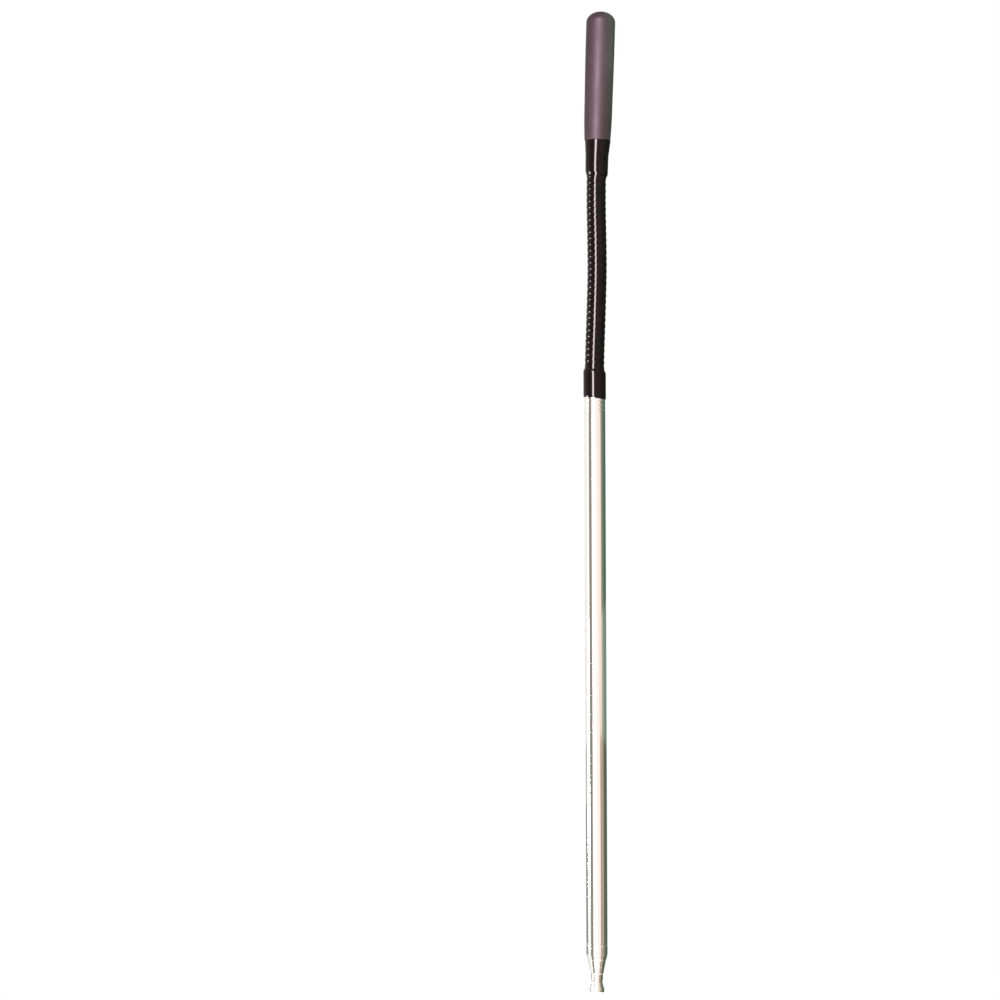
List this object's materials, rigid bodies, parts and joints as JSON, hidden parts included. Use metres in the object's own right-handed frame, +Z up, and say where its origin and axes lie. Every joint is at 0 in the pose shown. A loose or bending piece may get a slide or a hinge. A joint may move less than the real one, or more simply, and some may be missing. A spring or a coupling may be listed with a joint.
{
  "type": "magnetic pickup tool",
  "caption": "Hand tool with a rubber grip, a bendable gooseneck neck in a ribbed sleeve, and a telescoping chrome tube that carries a round magnet at its tip.",
  "frame": {"origin": "middle of the grip, on the grip's own axis, where a hand holds the tool", "axes": "+Z up along the straight telescoping tube, from the magnet towards the grip; +X towards the side that the bent neck leans the grip; -Z is the way the magnet faces"},
  "size_m": [0.0201, 0.0174, 0.5893],
  "materials": {
    "grip_rubber": "matte plum-black soft rubber",
    "sleeve_vinyl": "glossy black shrunk vinyl",
    "chrome": "polished chrome plate",
    "nickel": "bright nickel plate with a warm tint",
    "spring_steel": "drawn steel wire",
    "turned_steel": "turned steel",
    "brass": "turned brass",
    "bronze": "rolled phosphor bronze strip",
    "magnet_plate": "nickel-plated magnet"
  },
  "bodies": {
    "handle": {"grip": "grip_rubber", "handle_core": "turned_steel", "upper_ferrule": "turned_steel", "neck_sleeve": "sleeve_vinyl", "neck_spring": "spring_steel", "neck_wedge_00": "spring_steel"},
    "neck_link_01": {"neck_wedge_01": "spring_steel"},
    "neck_link_02": {"neck_wedge_02": "spring_steel"},
    "neck_link_03": {"neck_wedge_03": "spring_steel"},
    "neck_link_04": {"neck_wedge_04": "spring_steel"},
    "neck_link_05": {"neck_wedge_05": "spring_steel"},
    "neck_link_06": {"neck_wedge_06": "spring_steel"},
    "neck_link_07": {"neck_wedge_07": "spring_steel"},
    "neck_link_08": {"neck_wedge_08": "spring_steel"},
    "neck_link_09": {"neck_wedge_09": "spring_steel"},
    "neck_link_10": {"neck_wedge_10": "spring_steel"},
    "neck_link_11": {"neck_wedge_11": "spring_steel"},
    "tube": {"outer_tube": "chrome", "lower_ferrule": "turned_steel", "neck_wedge_12": "spring_steel"},
    "slider_1": {"friction_spring_1": "bronze"},
    "section_1": {"middle_tube_1": "chrome", "stop_bush_1": "brass"},
    "slider_2": {"friction_spring_2": "bronze"},
    "section_2": {"middle_tube_2": "chrome", "stop_bush_2": "brass"},
    "slider_3": {"friction_spring_3": "bronze"},
    "section_3": {"tip_tube": "chrome", "stop_bush_3": "brass", "tip_plug": "turned_steel", "magnet_cup": "nickel", "magnet": "magnet_plate"}
  },
  "joints": [
    {"name": "neck_side_1", "type": "hinge", "parent": "handle", "child": "neck_link_01", "pos_m": [-0.00208, 0, -0.06513], "axis": [0, 1, 0], "range_deg": [-18, 18], "deforming": ["neck_sleeve", "neck_spring"]},
    {"name": "neck_fore_1", "type": "hinge", "parent": "neck_link_01", "child": "neck_link_02", "pos_m": [-0.00216, 0, -0.07487], "axis": [1, 0, -0.0007], "range_deg": [-18, 18], "deforming": ["neck_sleeve", "neck_spring"]},
    {"name": "neck_side_2", "type": "hinge", "parent": "neck_link_02", "child": "neck_link_03", "pos_m": [-0.00209, 0, -0.08463], "axis": [0, 1, 0], "range_deg": [-18, 18], "deforming": ["neck_sleeve", "neck_spring"]},
    {"name": "neck_fore_2", "type": "hinge", "parent": "neck_link_03", "child": "neck_link_04", "pos_m": [-0.00191, 0, -0.09438], "axis": [0.9999, 0, 0.017], "range_deg": [-18, 18], "deforming": ["neck_sleeve", "neck_spring"]},
    {"name": "neck_side_3", "type": "hinge", "parent": "neck_link_04", "child": "neck_link_05", "pos_m": [-0.0018, 0, -0.10412], "axis": [0, 1, 0], "range_deg": [-18, 18], "deforming": ["neck_sleeve", "neck_spring"]},
    {"name": "neck_fore_3", "type": "hinge", "parent": "neck_link_05", "child": "neck_link_06", "pos_m": [-0.00176, 0, -0.11388], "axis": [1, 0, -0.0033], "range_deg": [-18, 18], "deforming": ["neck_sleeve", "neck_spring"]},
    {"name": "neck_side_4", "type": "hinge", "parent": "neck_link_06", "child": "neck_link_07", "pos_m": [-0.00191, 0, -0.12362], "axis": [0, 1, 0], "range_deg": [-18, 18], "deforming": ["neck_sleeve", "neck_spring"]},
    {"name": "neck_fore_4", "type": "hinge", "parent": "neck_link_07", "child": "neck_link_08", "pos_m": [-0.0022, 0, -0.13337], "axis": [0.9994, 0, -0.0341], "range_deg": [-18, 18], "deforming": ["neck_sleeve", "neck_spring"]},
    {"name": "neck_side_5", "type": "hinge", "parent": "neck_link_08", "child": "neck_link_09", "pos_m": [-0.00254, 0, -0.14313], "axis": [0, 1, 0], "range_deg": [-18, 18], "deforming": ["neck_sleeve", "neck_spring"]},
    {"name": "neck_fore_5", "type": "hinge", "parent": "neck_link_09", "child": "neck_link_10", "pos_m": [-0.00286, 0, -0.15288], "axis": [0.9993, 0, -0.0379], "range_deg": [-18, 18], "deforming": ["neck_sleeve", "neck_spring"]},
    {"name": "neck_side_6", "type": "hinge", "parent": "neck_link_10", "child": "neck_link_11", "pos_m": [-0.00324, 0, -0.16262], "axis": [0, 1, 0], "range_deg": [-18, 18], "deforming": ["neck_sleeve", "neck_spring"]},
    {"name": "neck_fore_6", "type": "hinge", "parent": "neck_link_11", "child": "tube", "pos_m": [-0.00351, 0, -0.17238], "axis": [0.9999, 0, -0.0165], "range_deg": [-18, 18], "deforming": ["neck_sleeve", "neck_spring"]},
    {"name": "section_1_slide", "type": "slide", "parent": "tube", "child": "slider_1", "axis": [0, 0, -1], "range_m": [0, 0.2927]},
    {"name": "section_1_spin", "type": "hinge", "parent": "slider_1", "child": "section_1", "pos_m": [-0.00355, 0, -0.21075], "axis": [0, 0, -1], "continuous": true},
    {"name": "section_2_slide", "type": "slide", "parent": "section_1", "child": "slider_2", "axis": [0, 0, -1], "range_m": [0, 0.2895]},
    {"name": "section_2_spin", "type": "hinge", "parent": "slider_2", "child": "section_2", "pos_m": [-0.00355, 0, -0.21825], "axis": [0, 0, -1], "continuous": true},
    {"name": "section_3_slide", "type": "slide", "parent": "section_2", "child": "slider_3", "axis": [0, 0, -1], "range_m": [0, 0.2859]},
    {"name": "section_3_spin", "type": "hinge", "parent": "slider_3", "child": "section_3", "pos_m": [-0.00355, 0, -0.22575], "axis": [0, 0, -1], "continuous": true}
  ]
}
